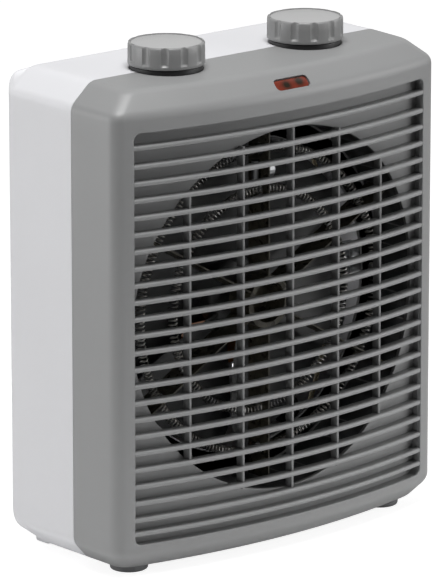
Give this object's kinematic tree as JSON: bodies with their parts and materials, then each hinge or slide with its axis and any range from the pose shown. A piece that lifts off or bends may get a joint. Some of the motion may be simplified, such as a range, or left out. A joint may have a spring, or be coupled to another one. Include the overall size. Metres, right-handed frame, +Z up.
{
  "type": "fan heater",
  "caption": "Upright portable fan heater with a bowed slatted grille, an open wire element, an axial fan and two fluted knobs on top.",
  "frame": {"origin": "on the floor, under the middle of the body", "axes": "+X to the right seen from the grille side, +Y from the grille to the back, +Z up"},
  "size_m": [0.22, 0.102, 0.2699],
  "materials": {
    "grey_shell": "satin",
    "white_shell": "satin",
    "black_plastic": "matte",
    "red_lens": "gloss, clear",
    "lamp_glass": "clear",
    "cream_plastic": "matte",
    "mica": "pearly, translucent",
    "dark_steel": "dark coated",
    "zinc_steel": "zinc plated",
    "element_wire": "bright drawn",
    "copper": "lacquered wire"
  },
  "bodies": {
    "casing": {"front_housing": "grey_shell", "rear_housing": "white_shell", "indicator_lens": "red_lens", "neon_lamp": "lamp_glass", "selector_collar": "black_plastic", "selector_body": "black_plastic", "thermostat_collar": "black_plastic", "thermostat_body": "black_plastic", "control_bracket": "zinc_steel", "bracket_screw_1": "zinc_steel", "bracket_screw_2": "zinc_steel", "fan_duct": "dark_steel", "duct_screw_1": "zinc_steel", "duct_screw_2": "zinc_steel", "duct_screw_3": "zinc_steel", "duct_screw_4": "zinc_steel", "element_hub": "mica", "mica_card_1": "mica", "mica_card_2": "mica", "mica_card_3": "mica", "mica_card_4": "mica", "mica_card_5": "mica", "mica_card_6": "mica", "outer_coil": "element_wire", "inner_coil": "element_wire", "thermal_cutout": "zinc_steel", "thermal_fuse": "zinc_steel", "motor_stator": "dark_steel", "motor_winding": "copper", "motor_bridge": "zinc_steel", "motor_cap": "zinc_steel", "motor_screw_1": "zinc_steel", "motor_screw_2": "zinc_steel", "bridge_screw_1": "zinc_steel", "bridge_screw_2": "zinc_steel", "casing_screw_1": "zinc_steel", "casing_screw_2": "zinc_steel", "casing_screw_3": "zinc_steel", "casing_screw_4": "zinc_steel", "cord_gland": "black_plastic", "terminal_block": "cream_plastic", "supply_lead": "cream_plastic", "neutral_lead": "cream_plastic", "motor_lead": "cream_plastic", "control_link": "cream_plastic", "element_lead_1": "cream_plastic", "element_lead_2": "cream_plastic"},
    "thermostat_control": {"thermostat_knob": "grey_shell", "thermostat_spindle": "zinc_steel"},
    "selector_control": {"selector_knob": "grey_shell", "selector_spindle": "zinc_steel"},
    "fan_rotor": {"fan_impeller": "black_plastic", "fan_shaft": "zinc_steel", "motor_rotor": "dark_steel", "impeller_clip": "zinc_steel"}
  },
  "joints": [
    {"name": "thermostat_turn", "type": "hinge", "parent": "casing", "child": "thermostat_control", "pos_m": [0.0475, -0.0034, 0.26], "axis": [0, 0, 1], "range_deg": [-135, 135]},
    {"name": "selector_turn", "type": "hinge", "parent": "casing", "child": "selector_control", "pos_m": [-0.0475, -0.0034, 0.26], "axis": [0, 0, 1], "range_deg": [-135, 0]},
    {"name": "fan_spin", "type": "hinge", "parent": "casing", "child": "fan_rotor", "pos_m": [0, 0, 0.12865], "axis": [0, 1, 0], "continuous": true}
  ]
}
